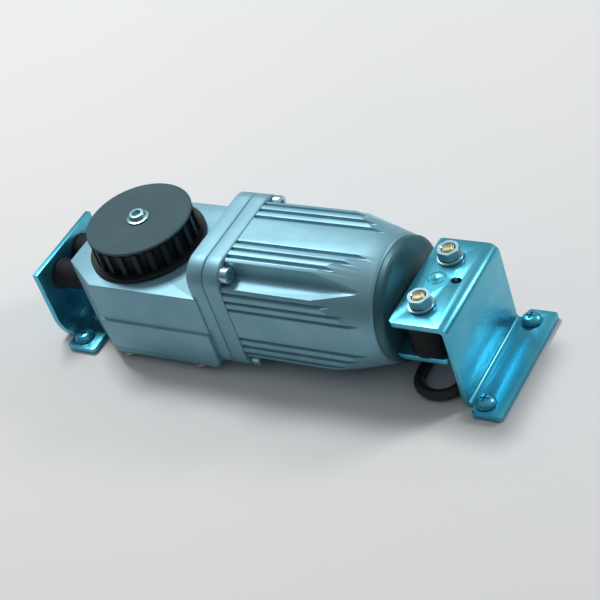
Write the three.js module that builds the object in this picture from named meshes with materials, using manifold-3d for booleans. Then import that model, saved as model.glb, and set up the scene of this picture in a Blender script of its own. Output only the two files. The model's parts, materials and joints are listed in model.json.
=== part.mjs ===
// Gearmotor of a belt-driven sliding door: a brushless motor, a spur stage, a worm stage and a
// toothed drive pulley, held by two bent brackets on rubber buffers.
// Millimetres, +Z up. It stands on its bracket feet at z = 0. X runs along the motor axis, from the
// front bracket at the gearbox end to the tail bracket. While it is drawn, x = 0 is the gearbox side
// of the square flange and y = 0 is the plane of the motor axis and of the pulley axis.
import * as THREE from "three";
import { mergeVertices } from "three/addons/utils/BufferGeometryUtils.js";
import Module from "manifold-3d";

const wasm = await Module();
wasm.setup();

// ---- driving dimensions ----
const GAP = 0.3; // between neighbours that touch on the real object
const AXIS_Z = 35; // motor axis above the feet
const FLANGE = { size: 66, radius: 12, split: 9, end: 18 }; // square flange: gearbox half, motor half
const BODY = { end: 96, half: 32.6, corner: 17, bore: 28.2, rim: 30.8, taper: 0.27 };
const CHANNEL = 22.3; // inner corner of the bolt channels, from the axis
const GROOVE = { places: [9.4, 14.3, 19.2], width: 1.9, depth: 1.7 };
const BOLT = { place: 26.6, head: 4, headLength: 4.2, shank: 2.5 };
const BOX = { end: -84, corner: -62.5, half: 34, nose: 19, top: 49.5, bottom: 8.3, ledge: 27, lip: 1.4 };
const CAVITY = { from: -65, to: -9, half: 26.5, top: 39 };
const OUTPUT_X = -46; // pulley axis
const MODULE = 1; // of the worm pair and of the spur pair
const TEETH = { pinion: 12, spur: 24, wheel: 24, starts: 3 };
const WORM_Y = -17.5;
const WORM_RADIUS = -WORM_Y - (MODULE * TEETH.wheel) / 2;
const SPUR_CENTRES = (MODULE * (TEETH.pinion + TEETH.spur)) / 2;
const WORM_Z = AXIS_Z - Math.sqrt(SPUR_CENTRES ** 2 - WORM_Y ** 2);
const SPUR = { from: 2.6, to: 8 }; // the spur gears, inside the flange
const PULLEY = { teeth: 22, pitch: 8, from: 50.1, rim: 51.9, top: 64.3, flange: 30.4 };
const DISC = { radius: 27.6, top: 66.5, thickness: 1.9 };
const SHEET = 3; // bracket sheet
const TAIL = { from: 104.5, web: 134, foot: 153, height: 48.6, half: 29.3, bend: 5, ears: 137.5 };
const FRONT = { web: -107.5, foot: -78.5, height: 42, half: 26, bend: 11, ears: -96 };
const EARS = 35.4; // half width of both feet over their ears
const TAIL_BUFFER = { x: 115.6, y: 16.4, radius: 10, from: 24.6, stud: 3, studTop: 55.2 };
const ANGLE = { end: 127, half: 25, legHalf: 13, top: 33, screwY: 7, screwZ: 28.6 };
const FRONT_BUFFER = { y: 9.6, z: 30, radius: 8.6, stud: 3 };
const FOOT_SCREW = { tailX: 142, frontX: -89, y: 27.8, head: 5.2, headHeight: 3.2 };
const CABLE = { radius: 2.8, steps: 72, z: 12 };
const CABLE_ROUTE = [
  [108.4, 0, 12], [111.4, 0, 12], [119.2, -2.1, 10.9], [125.1, -8, 8.1], [127.2, -16, 5.1],
  [125.6, -21.9, 3.5], [121.4, -26.1, 3], [115.5, -27.7, 3], [109.7, -26.1, 3], [105.4, -21.9, 3],
  [103.8, -16, 3], [103.8, -4, 3], [103.8, 8, 3], [103.8, 22, 3], [103.8, 36, 3], [102, 44, 3],
  [97.1, 49.2, 3], [90.3, 51, 3], [76, 51, 3], [56, 49.8, 3], [34, 49.4, 3], [10, 50.4, 3],
  [-16, 51.2, 3], [-42, 50.6, 3], [-66, 49.6, 3], [-84, 49.4, 3],
];

// ---- colours ----
const cast = { color: 0xa9bcc2, roughness: 0.5, metalness: 0.85 };
const plated = { color: 0xb4c6cc, roughness: 0.35, metalness: 1 };
const steel = { color: 0xa0a4a6, roughness: 0.3, metalness: 1 };
const endCap = { color: 0x4f6a72, roughness: 0.55, metalness: 0.4 };
const black = { color: 0x17191a, roughness: 0.7, metalness: 0 };
const rubber = { color: 0x101112, roughness: 0.85, metalness: 0 };
const discGrey = { color: 0x566064, roughness: 0.6, metalness: 0.1 };
const laminated = { color: 0x6d7073, roughness: 0.5, metalness: 0.9 };
const copper = { color: 0xa85a2a, roughness: 0.4, metalness: 0.8 };
const bronze = { color: 0xb08a4a, roughness: 0.4, metalness: 0.9 };
const magnet = { color: 0x3a3c40, roughness: 0.4, metalness: 0.7 };
const circuit = { color: 0x1f6b3a, roughness: 0.5, metalness: 0 };
const paper = { color: 0x4a4640, roughness: 0.9, metalness: 0 };
const plug = { color: 0xe4e2da, roughness: 0.5, metalness: 0 };

// ---- solids ----
// One closed geometry, vertices merged, slivers dropped, faces pointing out.
function tidy(geometry) {
  const bare = geometry.clone();
  bare.deleteAttribute("normal");
  bare.deleteAttribute("uv");
  const merged = mergeVertices(bare, 1e-4);
  const index = [];
  for (let i = 0; i < merged.index.count; i += 3) {
    const [a, b, c] = [0, 1, 2].map((k) => merged.index.getX(i + k));
    if (a !== b && b !== c && c !== a) index.push(a, b, c);
  }
  if (volume(merged.attributes.position, index) < 0) index.reverse();
  merged.setIndex(index);
  return merged;
}

function volume(position, index) {
  const [a, b, c] = [0, 1, 2].map(() => new THREE.Vector3());
  let sum = 0;
  for (let i = 0; i < index.length; i += 3) {
    a.fromBufferAttribute(position, index[i]);
    b.fromBufferAttribute(position, index[i + 1]);
    c.fromBufferAttribute(position, index[i + 2]);
    sum += a.dot(b.cross(c)) / 6;
  }
  return sum;
}

function toSolid(geometry) {
  const clean = tidy(geometry);
  return new wasm.Manifold(
    new wasm.Mesh({
      numProp: 3,
      vertProperties: new Float32Array(clean.attributes.position.array),
      triVerts: new Uint32Array(clean.index.array),
    }),
  );
}

function toGeometry(solid) {
  const mesh = solid.getMesh();
  const geometry = new THREE.BufferGeometry();
  geometry.setAttribute("position", new THREE.BufferAttribute(mesh.vertProperties, mesh.numProp));
  geometry.setIndex(new THREE.BufferAttribute(mesh.triVerts, 1));
  return geometry;
}

const combine = (first, others, how) =>
  toGeometry(others.reduce((solid, other) => solid[how](toSolid(other)), toSolid(first)));
const join = (first, ...others) => combine(first, others, "add");
const cut = (first, ...others) => combine(first, others, "subtract");
const common = (first, ...others) => combine(first, others, "intersect");

// ---- shapes, drawn standing on z = 0 or turned about Z ----
function prism(shape, depth, curveSegments = 5) {
  return new THREE.ExtrudeGeometry(shape, { depth, bevelEnabled: false, curveSegments });
}

const outline = (points) => new THREE.Shape(points.map(([x, y]) => new THREE.Vector2(x, y)));

function roundedRect(width, height, radius) {
  const [x, y] = [width / 2 - radius, height / 2 - radius];
  const shape = new THREE.Shape();
  shape.absarc(x, y, radius, 0, Math.PI / 2);
  shape.absarc(-x, y, radius, Math.PI / 2, Math.PI);
  shape.absarc(-x, -y, radius, Math.PI, 1.5 * Math.PI);
  shape.absarc(x, -y, radius, 1.5 * Math.PI, 2 * Math.PI);
  return shape;
}

function rod(radius, length, sides = 24) {
  return new THREE.CylinderGeometry(radius, radius, length, sides)
    .rotateX(Math.PI / 2)
    .translate(0, 0, length / 2);
}

// profile: [radius, height] pairs, from axis to axis or closing on themselves
function turned(profile, sides = 24) {
  const points = profile.map(([radius, height]) => new THREE.Vector2(radius, height));
  return new THREE.LatheGeometry(points, sides).rotateX(Math.PI / 2);
}

function tube(outer, inner, length, sides = 24) {
  return turned([[inner, 0], [outer, 0], [outer, length], [inner, length], [inner, 0]], sides);
}

const box = (width, depth, height) =>
  new THREE.BoxGeometry(width, depth, height).translate(0, 0, height / 2);

// Z of the drawing becomes X of the part: outlines drawn as (x, y) lie in (y, z)
const TO_X = new THREE.Matrix4().makeBasis(
  new THREE.Vector3(0, 1, 0), new THREE.Vector3(0, 0, 1), new THREE.Vector3(1, 0, 0),
);
const alongX = (geometry, x, y = 0, z = AXIS_Z) => geometry.applyMatrix4(TO_X).translate(x, y, z);

// A side view drawn as (x, z) becomes a solid of the given half width about y = 0
const acrossY = (shape, half, curveSegments) =>
  prism(shape, 2 * half, curveSegments).rotateX(Math.PI / 2).translate(0, half, 0);

// An outline lofted straight up while it turns by `twist`
function twisted(points, length, layers, twist) {
  const positions = [];
  for (let layer = 0; layer <= layers; layer++) {
    const turn = (twist * layer) / layers;
    for (const point of points) {
      const p = point.clone().rotateAround(new THREE.Vector2(), turn);
      positions.push(p.x, p.y, (length * layer) / layers);
    }
  }
  const count = points.length;
  const index = [];
  for (let layer = 0; layer < layers; layer++) {
    for (let i = 0; i < count; i++) {
      const a = layer * count + i;
      const b = layer * count + ((i + 1) % count);
      index.push(a, b, b + count, a, b + count, a + count);
    }
  }
  for (const [a, b, c] of THREE.ShapeUtils.triangulateShape(points, [])) {
    const top = layers * count;
    index.push(c, b, a, top + a, top + b, top + c);
  }
  const geometry = new THREE.BufferGeometry();
  geometry.setAttribute("position", new THREE.Float32BufferAttribute(positions, 3));
  geometry.setIndex(index);
  return geometry;
}

// stations: [offset angle from the tooth's middle, radius], anticlockwise over one tooth
function toothed(teeth, stations, phase = 0) {
  const points = [];
  for (let tooth = 0; tooth < teeth; tooth++) {
    for (const [offset, radius] of stations) {
      const angle = phase + (tooth * 2 * Math.PI) / teeth + offset;
      points.push(new THREE.Vector2(radius * Math.cos(angle), radius * Math.sin(angle)));
    }
  }
  return points;
}

// Straight-flanked tooth, thinned for backlash: thickness at root, pitch line and tip
function gearTooth(teeth, root = 1.7, tip = 0.7) {
  const pitch = (MODULE * teeth) / 2;
  const [low, high] = [pitch - 1.15 * MODULE, pitch + 0.85 * MODULE];
  const half = (thickness, radius) => thickness / 2 / radius;
  return [
    [-half(root, low), low], [-half(tip, high), high], [half(tip, high), high], [half(root, low), low],
  ];
}

// ---- the assembly ----
const gearmotor = new THREE.Group();

function part(name, geometry, finish) {
  const mesh = new THREE.Mesh(tidy(geometry), new THREE.MeshStandardMaterial(finish));
  mesh.name = name;
  gearmotor.add(mesh);
}

const SIDES = [-1, 1];
const CORNERS = [[-1, 1], [1, 1], [1, -1], [-1, -1]];

// ---- gearbox ----
// Box with a five-sided end, a wider lower part and the gearbox half of the square flange
function gearboxHousing() {
  const plan = (lip) =>
    outline([
      [2, -BOX.half - lip], [2, BOX.half + lip], [BOX.corner, BOX.half + lip],
      [BOX.end, BOX.nose], [BOX.end, -BOX.nose], [BOX.corner, -BOX.half - lip],
    ]);
  const upper = prism(plan(0), BOX.top - BOX.bottom).translate(0, 0, BOX.bottom);
  const lower = prism(plan(BOX.lip), BOX.ledge - BOX.bottom).translate(0, 0, BOX.bottom);
  const flange = alongX(prism(roundedRect(FLANGE.size, FLANGE.size, FLANGE.radius), FLANGE.split), 0);
  const cavity = box(CAVITY.to - CAVITY.from, 2 * CAVITY.half, CAVITY.top - BOX.bottom + 1);
  cavity.translate((CAVITY.from + CAVITY.to) / 2, 0, BOX.bottom - 1);
  const spurRoom = SPUR.from - 0.6;
  return cut(
    join(upper, lower, flange),
    cavity,
    alongX(rod(14.2, FLANGE.split, 28), spurRoom, WORM_Y, WORM_Z),
    alongX(rod(8.4, FLANGE.split), spurRoom),
    alongX(rod(9.8, 7), CAVITY.to - 1, WORM_Y, WORM_Z),
    alongX(rod(6.2, 12), CAVITY.to + 4, WORM_Y, WORM_Z),
    alongX(rod(8.3, 8), CAVITY.from - 7, WORM_Y, WORM_Z),
    rod(14.3, 9.3, 28).translate(OUTPUT_X, 0, CAVITY.top - 1),
    rod(11.3, 6).translate(OUTPUT_X, 0, BOX.top - 4),
    ...CORNERS.map(([y, z]) => boltHole(y, z)),
    ...coverScrewPlaces().map(([x, y]) => rod(2.3, 12, 10).translate(x, y, BOX.bottom - 1)),
  );
}

const boltHole = (y, z) =>
  alongX(rod(BOLT.shank + GAP, 20, 12), 1.4, y * BOLT.place, AXIS_Z + z * BOLT.place);

const coverScrewPlaces = () => SIDES.flatMap((side) => [-57, -13].map((x) => [x, side * 30.6]));

function coverOutline() {
  return outline([
    [-0.3, -BOX.half], [-0.3, BOX.half], [BOX.corner, BOX.half],
    [BOX.end + 1, BOX.nose], [BOX.end + 1, -BOX.nose], [BOX.corner, -BOX.half],
  ]);
}

// Bottom plate with the seat of the lower output bearing standing on it
function gearboxCover() {
  const plate = prism(coverOutline(), 3.2).translate(0, 0, 3.8);
  const seat = rod(16, 9, 28).translate(OUTPUT_X, 0, 5);
  return cut(
    join(plate, seat),
    rod(13.2, 9.4, 28).translate(OUTPUT_X, 0, 5.6),
    ...coverScrewPlaces().map(([x, y]) => rod(2.3, 6, 10).translate(x, y, 2)),
  );
}

function gearboxGasket() {
  return cut(
    prism(coverOutline(), 0.7).translate(0, 0, 7.3),
    box(CAVITY.to - CAVITY.from, 2 * CAVITY.half, 4).translate((CAVITY.from + CAVITY.to) / 2, 0, 5),
    ...coverScrewPlaces().map(([x, y]) => rod(2.3, 6, 10).translate(x, y, 4)),
  );
}

// Pan head below the plate, shank upwards
const coverScrew = (x, y) =>
  turned([[0, 1.6], [2.9, 1.6], [3.5, 2.2], [3.5, 3.5], [2, 3.5], [2, 17], [0, 17]], 12).translate(x, y, 0);

// Races with a shallow groove between them
function bearing(outer, inner, width) {
  const [low, high] = [inner + (outer - inner) * 0.3, inner + (outer - inner) * 0.7];
  return turned(
    [
      [inner, 0], [low, 0], [low, 0.5], [high, 0.5], [high, 0], [outer, 0], [outer, width], [inner, width],
      [inner, 0],
    ],
    16,
  );
}

function buildGearbox() {
  part("gearbox_housing", gearboxHousing(), cast);
  part("gearbox_cover", gearboxCover(), cast);
  part("gearbox_gasket", gearboxGasket(), paper);
  coverScrewPlaces().forEach(([x, y], i) => part(`cover_screw_${i + 1}`, coverScrew(x, y), steel));
  part("worm_bearing_flange", alongX(bearing(9.5, 4.8, 5), -8.8, WORM_Y, WORM_Z), steel);
  part("worm_bearing_end", alongX(bearing(8, 3, 5), CAVITY.from - 6, WORM_Y, WORM_Z), steel);
  part("output_bearing_upper", bearing(14, 6.3, 7.6).translate(OUTPUT_X, 0, 39.3), steel);
  part("output_bearing_lower", bearing(12.9, 5.3, 7.6).translate(OUTPUT_X, 0, 6), steel);
  part("output_shaft_seal", tube(11, 6.3, 1.9).translate(OUTPUT_X, 0, 47.6), rubber);
}

// ---- moving train ----
const LEAD = Math.PI * MODULE * TEETH.starts;

// Right-hand worm, one thread centred at the wheel's plane on the side that faces the wheel
function wormShaft() {
  const length = 18;
  const degrees = (axial) => (axial / LEAD) * Math.PI; // half angle of an axial thickness
  const [root, tip] = [WORM_RADIUS - 1.15 * MODULE, WORM_RADIUS + 0.85 * MODULE];
  const stations = [
    [-degrees(1.8), root], [-degrees(0.6), tip], [0, tip], [degrees(0.6), tip], [degrees(1.8), root],
    [Math.PI / TEETH.starts, root],
  ];
  const turns = (length / LEAD) * 2 * Math.PI;
  const thread = twisted(toothed(TEETH.starts, stations, -turns / 2), length, 26, turns);
  const start = OUTPUT_X - length / 2;
  const shaft = turned(
    [
      [0, CAVITY.from - 6], [2.7, CAVITY.from - 6], [2.7, CAVITY.from - 0.6],
      [3.5, CAVITY.from - 0.6], [3.5, -10], [4.5, -10], [4.5, -3.4],
      [3.6, -3.4], [3.6, SPUR.to + 0.4], [0, SPUR.to + 0.4],
    ],
    18,
  );
  return join(alongX(thread, start, WORM_Y, WORM_Z), alongX(shaft, 0, WORM_Y, WORM_Z));
}

// The tooth gap of the spur gear faces a tooth of the pinion
function spurGear() {
  const towardsPinion = Math.atan2(AXIS_Z - WORM_Z, -WORM_Y);
  const phase = towardsPinion + Math.PI / TEETH.spur;
  const teeth = toothed(TEETH.spur, gearTooth(TEETH.spur), phase);
  return alongX(cut(twisted(teeth, SPUR.to - SPUR.from, 1, 0), rod(3.9, 20).translate(0, 0, -1)),
    SPUR.from, WORM_Y, WORM_Z);
}

function motorPinion() {
  const towardsGear = Math.atan2(WORM_Z - AXIS_Z, WORM_Y);
  const teeth = toothed(TEETH.pinion, gearTooth(TEETH.pinion), towardsGear);
  return alongX(cut(twisted(teeth, SPUR.to - SPUR.from, 1, 0), rod(3.3, 20).translate(0, 0, -1)), SPUR.from);
}

const WHEEL_WIDTH = 10;

function wormWheel() {
  const lean = (LEAD / (2 * Math.PI) / WORM_RADIUS / (MODULE * TEETH.wheel)) * 2; // turn per mm of height
  const middleGap = -Math.PI / 2 + Math.PI / TEETH.wheel;
  const phase = middleGap - (lean * WHEEL_WIDTH) / 2;
  const teeth = toothed(TEETH.wheel, gearTooth(TEETH.wheel), phase);
  return cut(twisted(teeth, WHEEL_WIDTH, 3, lean * WHEEL_WIDTH), rod(6.3, 20).translate(0, 0, -1))
    .translate(OUTPUT_X, 0, WORM_Z - WHEEL_WIDTH / 2);
}

function outputShaft() {
  const shoulder = WORM_Z - WHEEL_WIDTH / 2 - GAP;
  return cut(
    turned(
      [[0, 6.4], [5, 6.4], [5, 14], [8, 14], [8, shoulder], [6, shoulder], [6, 64], [0, 64]], 18,
    ).translate(OUTPUT_X, 0, 0),
    rod(3.3, 20, 12).translate(OUTPUT_X, 0, 46),
  );
}

// Round-bottomed grooves between the teeth and one belt flange below them
function drivePulley() {
  const pitchRadius = (PULLEY.teeth * PULLEY.pitch) / (2 * Math.PI);
  const tip = pitchRadius - 0.7;
  const root = tip - 3.2;
  const step = (2 * Math.PI) / PULLEY.teeth;
  const stations = [
    [-0.23 * step, tip - 0.2], [0, tip], [0.23 * step, tip - 0.2],
    [0.34 * step, root + 0.6], [0.5 * step, root], [0.66 * step, root + 0.6],
  ];
  const { from, rim, top, flange } = PULLEY;
  const teeth = twisted(toothed(PULLEY.teeth, stations), top - from - 0.5, 1, 0);
  const plate = turned(
    [[0, from], [flange - 0.5, from], [flange, from + 0.5], [flange, rim - 0.4], [flange - 1.2, rim],
      [0, rim]],
    40,
  );
  return cut(join(teeth.translate(0, 0, from + 0.5), plate), rod(6.3, 30).translate(0, 0, from - 5))
    .translate(OUTPUT_X, 0, 0);
}

function pulleyDisc() {
  const { radius, top, thickness } = DISC;
  const low = top - thickness;
  return turned(
    [[3.4, low], [radius, low], [radius, top - 0.4], [radius - 0.4, top], [3.4, top], [3.4, low]], 40,
  ).translate(OUTPUT_X, 0, 0);
}

// Flanged head with a hexagon socket
function pulleyScrew() {
  const seat = DISC.top + GAP;
  return cut(
    turned(
      [[0, 50], [2.9, 50], [2.9, seat], [6, seat], [6, seat + 0.6], [4.6, seat + 1], [4.6, seat + 2.4],
        [4, seat + 3], [0, seat + 3]], 18,
    ),
    rod(2.6, 4, 6).translate(0, 0, seat + 1.2),
  ).translate(OUTPUT_X, 0, 0);
}

function buildTrain() {
  part("worm_shaft", wormShaft(), steel);
  part("spur_gear", spurGear(), steel);
  part("worm_wheel", wormWheel(), bronze);
  part("output_shaft", outputShaft(), steel);
  part("drive_pulley", drivePulley(), black);
  part("pulley_cover_disc", pulleyDisc(), discGrey);
  part("pulley_screw", pulleyScrew(), steel);
}

// ---- motor ----
// One quarter of the grooved section, from the flat's middle to the bolt channel's inner corner
function bodyQuarter() {
  const { half, corner } = BODY;
  const centre = half - corner;
  const edge = (place) => {
    const past = Math.max(0, place - centre);
    return centre + Math.sqrt(corner ** 2 - past ** 2);
  };
  const points = [[half, 0]];
  for (const place of GROOVE.places) {
    const [low, high] = [place - GROOVE.width / 2, place + GROOVE.width / 2];
    points.push([edge(low), low], [edge(place) - GROOVE.depth, low + 0.45]);
    points.push([edge(place) - GROOVE.depth, high - 0.45], [edge(high), high]);
  }
  points.push([edge(CHANNEL), CHANNEL]);
  return points;
}

function bodySection() {
  const eighth = bodyQuarter();
  const quarter = [...eighth, [CHANNEL, CHANNEL], ...eighth.slice(1).reverse().map(([a, b]) => [b, a])];
  const points = [];
  for (let turn = 0; turn < 4; turn++) {
    for (const [y, z] of quarter) {
      points.push(new THREE.Vector2(y, z).rotateAround(new THREE.Vector2(), (turn * Math.PI) / 2));
    }
  }
  return new THREE.Shape(points);
}

// Grooved bar, turned down to a round rim at the tail and bored through
function motorHousing() {
  const start = FLANGE.end + GAP;
  const length = BODY.end - start;
  const reach = 45; // beyond the corners
  const taperLength = (reach - BODY.rim) / BODY.taper;
  const cone = turned(
    [[0, 0], [reach, 0], [reach, length - taperLength], [BODY.rim, length - 1.2],
      [BODY.rim - 1, length], [0, length]],
    64,
  );
  const bar = prism(bodySection(), length);
  return alongX(cut(common(bar, cone), rod(BODY.bore, length + 2, 40).translate(0, 0, -1)), start);
}

function motorFrontBell() {
  const start = FLANGE.split + GAP;
  const length = FLANGE.end - start;
  const plate = prism(roundedRect(FLANGE.size, FLANGE.size, FLANGE.radius), length);
  const holes = CORNERS.map(([y, z]) => rod(BOLT.shank + GAP, 20, 12)
    .translate(y * BOLT.place, z * BOLT.place, -5));
  return alongX(
    cut(plate, rod(5, 20).translate(0, 0, -5), rod(11.3, 10).translate(0, 0, 1.6), ...holes), start,
  );
}

// Flat dished cap with a spigot in the bore, a bearing seat inside and a hole for the grommet
function rearEndCap() {
  const [spigot, face] = [88.5, 100.6];
  const blank = turned(
    [[0, spigot], [BODY.bore - 0.4, spigot], [BODY.bore - 0.4, BODY.end + GAP],
      [BODY.rim - 0.8, BODY.end + GAP], [BODY.rim - 0.8, face - 1.6], [BODY.rim - 2.4, face], [0, face]],
    36,
  );
  return cut(
    alongX(blank, 0),
    alongX(turned([[12.6, 0], [25.6, 0], [25.6, 8], [12.6, 8], [12.6, 0]], 24), spigot - 1),
    alongX(rod(11.3, 8.4), spigot - 1),
    alongX(rod(4.4, 25, 16), 80, 0, CABLE.z),
    ...SIDES.map((side) => alongX(rod(2.1, 8, 10), 96.6, side * ANGLE.screwY, ANGLE.screwZ)),
  );
}

// Ring with inward poles; each pole carries one coil
const POLES = 6;
const STATOR = { from: 31, to: 77, outer: 27.8, yoke: 23.4, face: 17, pole: 3.2 };

function statorCore() {
  const { from, to, outer, yoke, face, pole } = STATOR;
  const length = to - from;
  const poles = [];
  for (let i = 0; i < POLES; i++) {
    const arm = box(yoke - face + 2, 2 * pole, length).translate((yoke + face + 2) / 2, 0, 0);
    poles.push(arm.rotateZ((i * 2 * Math.PI) / POLES));
  }
  return alongX(join(tube(outer, yoke, length, 36), ...poles), from);
}

function statorCoil(i) {
  const { from, to, yoke, face, pole } = STATOR;
  const [width, height, wrap] = [2 * pole + 0.6, to - from + 0.6, 3];
  const loop = cut(
    prism(roundedRect(width + 2 * wrap, height + 2 * wrap, 2.5), yoke - face - 2.6, 2),
    prism(roundedRect(width, height, 0.4), 20, 1).translate(0, 0, -5),
  );
  const middle = (from + to) / 2;
  loop.rotateY(Math.PI / 2).rotateX(Math.PI / 2).translate(face + 0.8, 0, 0);
  loop.rotateZ((i * 2 * Math.PI) / POLES);
  return alongX(loop, middle);
}

function rotorShaft() {
  return alongX(
    turned(
      [[0, SPUR.from - 0.3], [3, SPUR.from - 0.3], [3, 9.6], [3.9, 9.6], [3.9, 28], [5, 28], [5, 84],
        [3.9, 84], [3.9, 95.6], [0, 95.6]],
      20,
    ), 0,
  );
}

function buildMotor() {
  part("motor_front_bell", motorFrontBell(), cast);
  part("motor_housing", motorHousing(), cast);
  part("rear_end_cap", rearEndCap(), endCap);
  part("stator_core", statorCore(), laminated);
  for (let i = 0; i < POLES; i++) part(`stator_coil_${i + 1}`, statorCoil(i), copper);
  part("hall_sensor_board", alongX(tube(22, 9, 1.6, 24), 84.4), circuit);
  part("front_motor_bearing", alongX(bearing(11, 4.2, 6.4), 11.2), steel);
  part("rear_motor_bearing", alongX(bearing(11, 4.2, 6.4), 88.8), steel);
  part("rotor_shaft", rotorShaft(), steel);
  part("rotor_core", alongX(tube(12.4, 5.3, STATOR.to - STATOR.from), STATOR.from), laminated);
  part("magnet_ring", alongX(tube(16.2, 12.7, STATOR.to - STATOR.from, 32), STATOR.from), magnet);
  part("motor_pinion", motorPinion(), steel);
  CORNERS.forEach(([y, z], i) => part(`flange_bolt_${i + 1}`, flangeBolt(y, z), plated));
}

function flangeBolt(y, z) {
  const seat = FLANGE.end + GAP;
  const { head, headLength, shank, place } = BOLT;
  const blank = turned(
    [[0, 2], [shank, 2], [shank, seat], [head, seat], [head, seat + headLength - 0.6],
      [head - 0.6, seat + headLength], [0, seat + headLength]], 12,
  );
  return alongX(cut(blank, rod(2.3, 4, 6).translate(0, 0, seat + 2.2)), 0, y * place, AXIS_Z + z * place);
}

// ---- brackets ----
// A bent sheet as a side view: straight runs with rounded bends of the given outer radius
function bentSheet(points, radii) {
  const path = new THREE.Shape();
  const run = points.map(([x, z]) => new THREE.Vector2(x, z));
  const offset = [];
  for (const side of [1, -1]) {
    const edge = [];
    run.forEach((corner, i) => {
      const before = i > 0 ? corner.clone().sub(run[i - 1]).normalize() : null;
      const after = i < run.length - 1 ? run[i + 1].clone().sub(corner).normalize() : null;
      if (!before || !after) {
        const along = before ?? after;
        const across = new THREE.Vector2(-along.y, along.x);
        edge.push(corner.clone().addScaledVector(across, (side * SHEET) / 2));
        return;
      }
      const turn = Math.sign(before.cross(after));
      const middle = radii[i] - SHEET / 2;
      const centre = corner.clone().addScaledVector(before, -middle).addScaledVector(after, middle);
      const radius = middle - (turn * side * SHEET) / 2;
      const steps = 6;
      for (let k = 0; k <= steps; k++) {
        const angle = ((k / steps) * Math.PI) / 2;
        const spoke = after.clone().multiplyScalar(-Math.cos(angle)).addScaledVector(before, Math.sin(angle));
        edge.push(centre.clone().addScaledVector(spoke, radius));
      }
    });
    offset.push(side === 1 ? edge : edge.reverse());
  }
  path.setFromPoints(offset.flat());
  return path;
}

// Wider end of a foot, which carries its two screws
function footEars(from, to) {
  const [near, far] = [Math.min(from, to), Math.max(from, to)];
  return prism(roundedRect(far - near, 2 * EARS, 2.5), SHEET).translate((near + far) / 2, 0, 0);
}

// Z-bent: a shelf over the buffers, a web and a foot
function tailBracket() {
  const [shelf, web] = [TAIL.height - SHEET / 2, TAIL.web - SHEET / 2];
  const side = bentSheet([[TAIL.from, shelf], [web, shelf], [web, SHEET / 2], [TAIL.foot, SHEET / 2]],
    [0, TAIL.bend, TAIL.bend, 0]);
  return cut(
    join(acrossY(side, TAIL.half), footEars(TAIL.ears, TAIL.foot)),
    ...SIDES.map((s) => rod(3.4, 12, 16).translate(TAIL_BUFFER.x, s * TAIL_BUFFER.y, shelf - 6)),
    box(4.6, 3.4, 12).translate(TAIL_BUFFER.x + 9.2, 2.2, shelf - 6),
    ...SIDES.map((s) => footHole(FOOT_SCREW.tailX, s)),
  );
}

// L-bent with a wide bend: a web behind the buffers and a foot under the gearbox end
function frontBracket() {
  const web = FRONT.web + SHEET / 2;
  const side = bentSheet([[web, FRONT.height], [web, SHEET / 2], [FRONT.foot, SHEET / 2]],
    [0, FRONT.bend, 0]);
  return cut(
    join(acrossY(side, FRONT.half), footEars(FRONT.ears, FRONT.foot)),
    ...SIDES.map((s) => alongX(rod(3.4, 12, 16), web - 6, s * FRONT_BUFFER.y, FRONT_BUFFER.z)),
    ...SIDES.map((s) => footHole(FOOT_SCREW.frontX, s)),
  );
}

const footHole = (x, side) => rod(2.9, 12, 12).translate(x, side * FOOT_SCREW.y, -4);

// Angle that carries the two buffers: a plate, and a narrow leg up the end cap
function tailAngle() {
  const { end, half, legHalf, top, screwY, screwZ } = ANGLE;
  const plateTop = TAIL_BUFFER.from - GAP;
  const plate = plateTop - SHEET / 2;
  const side = bentSheet([[102.4, top], [102.4, plate], [end, plate]], [0, 4.5, 0]);
  const besideLeg = half - legHalf + 1;
  return cut(
    acrossY(side, half),
    ...SIDES.map((s) => box(12, besideLeg, 20).translate(103, s * (legHalf + besideLeg / 2), plateTop)),
    ...SIDES.map((s) => alongX(rod(2.3, 12, 10), 97, s * screwY, screwZ)),
    ...SIDES.map((s) => rod(3.4, 12, 12).translate(TAIL_BUFFER.x, s * TAIL_BUFFER.y, plate - 6)),
  );
}

// Waisted rubber with a stud bonded into each end
function buffer(radius, length, stud, below, above) {
  const waist = radius - 0.9;
  return turned(
    [
      [0, -below], [stud, -below], [stud, 0], [radius, 0], [radius, 1.6], [waist, 4], [waist, length - 4],
      [radius, length - 1.6], [radius, length], [stud, length], [stud, length + above], [0, length + above],
    ],
    14,
  );
}

function tailBuffer(side) {
  const top = TAIL.height - SHEET - GAP;
  const { x, y, radius, from, stud, studTop } = TAIL_BUFFER;
  return buffer(radius, top - from, stud, 5.4, studTop - top).translate(x, side * y, from);
}

function frontBuffer(side) {
  const start = FRONT.web + SHEET + GAP;
  const { y, z, radius, stud } = FRONT_BUFFER;
  return alongX(buffer(radius, BOX.end - GAP - start, stud, SHEET, 0.01), start, side * y, z);
}

function hexNut(across, bore, height) {
  return cut(rod(across / Math.sqrt(3), height, 6), rod(bore, height + 2, 16).translate(0, 0, -1));
}

// Round head with a cross recess left plain, shank down to the sole
function footScrew(x, side) {
  const { head, headHeight, y } = FOOT_SCREW;
  const seat = SHEET + GAP;
  const blank = turned(
    [[0, 0.2], [2.5, 0.2], [2.5, seat], [head, seat], [head, seat + 0.8], [head - 0.9, seat + 2.1],
      [head - 2.6, seat + headHeight], [0, seat + headHeight]], 12,
  );
  return cut(blank, box(1, 5, 3).translate(0, 0, seat + 1.8), box(5, 1, 3).translate(0, 0, seat + 1.8))
    .translate(x, side * y, 0);
}

function angleScrew(side) {
  const blank = turned(
    [[0, 97], [1.9, 97], [1.9, 104.2], [3.6, 104.2], [3.6, 105.2], [2.6, 106.2], [0, 106.2]], 14,
  );
  return alongX(blank, 0, side * ANGLE.screwY, ANGLE.screwZ);
}

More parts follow.
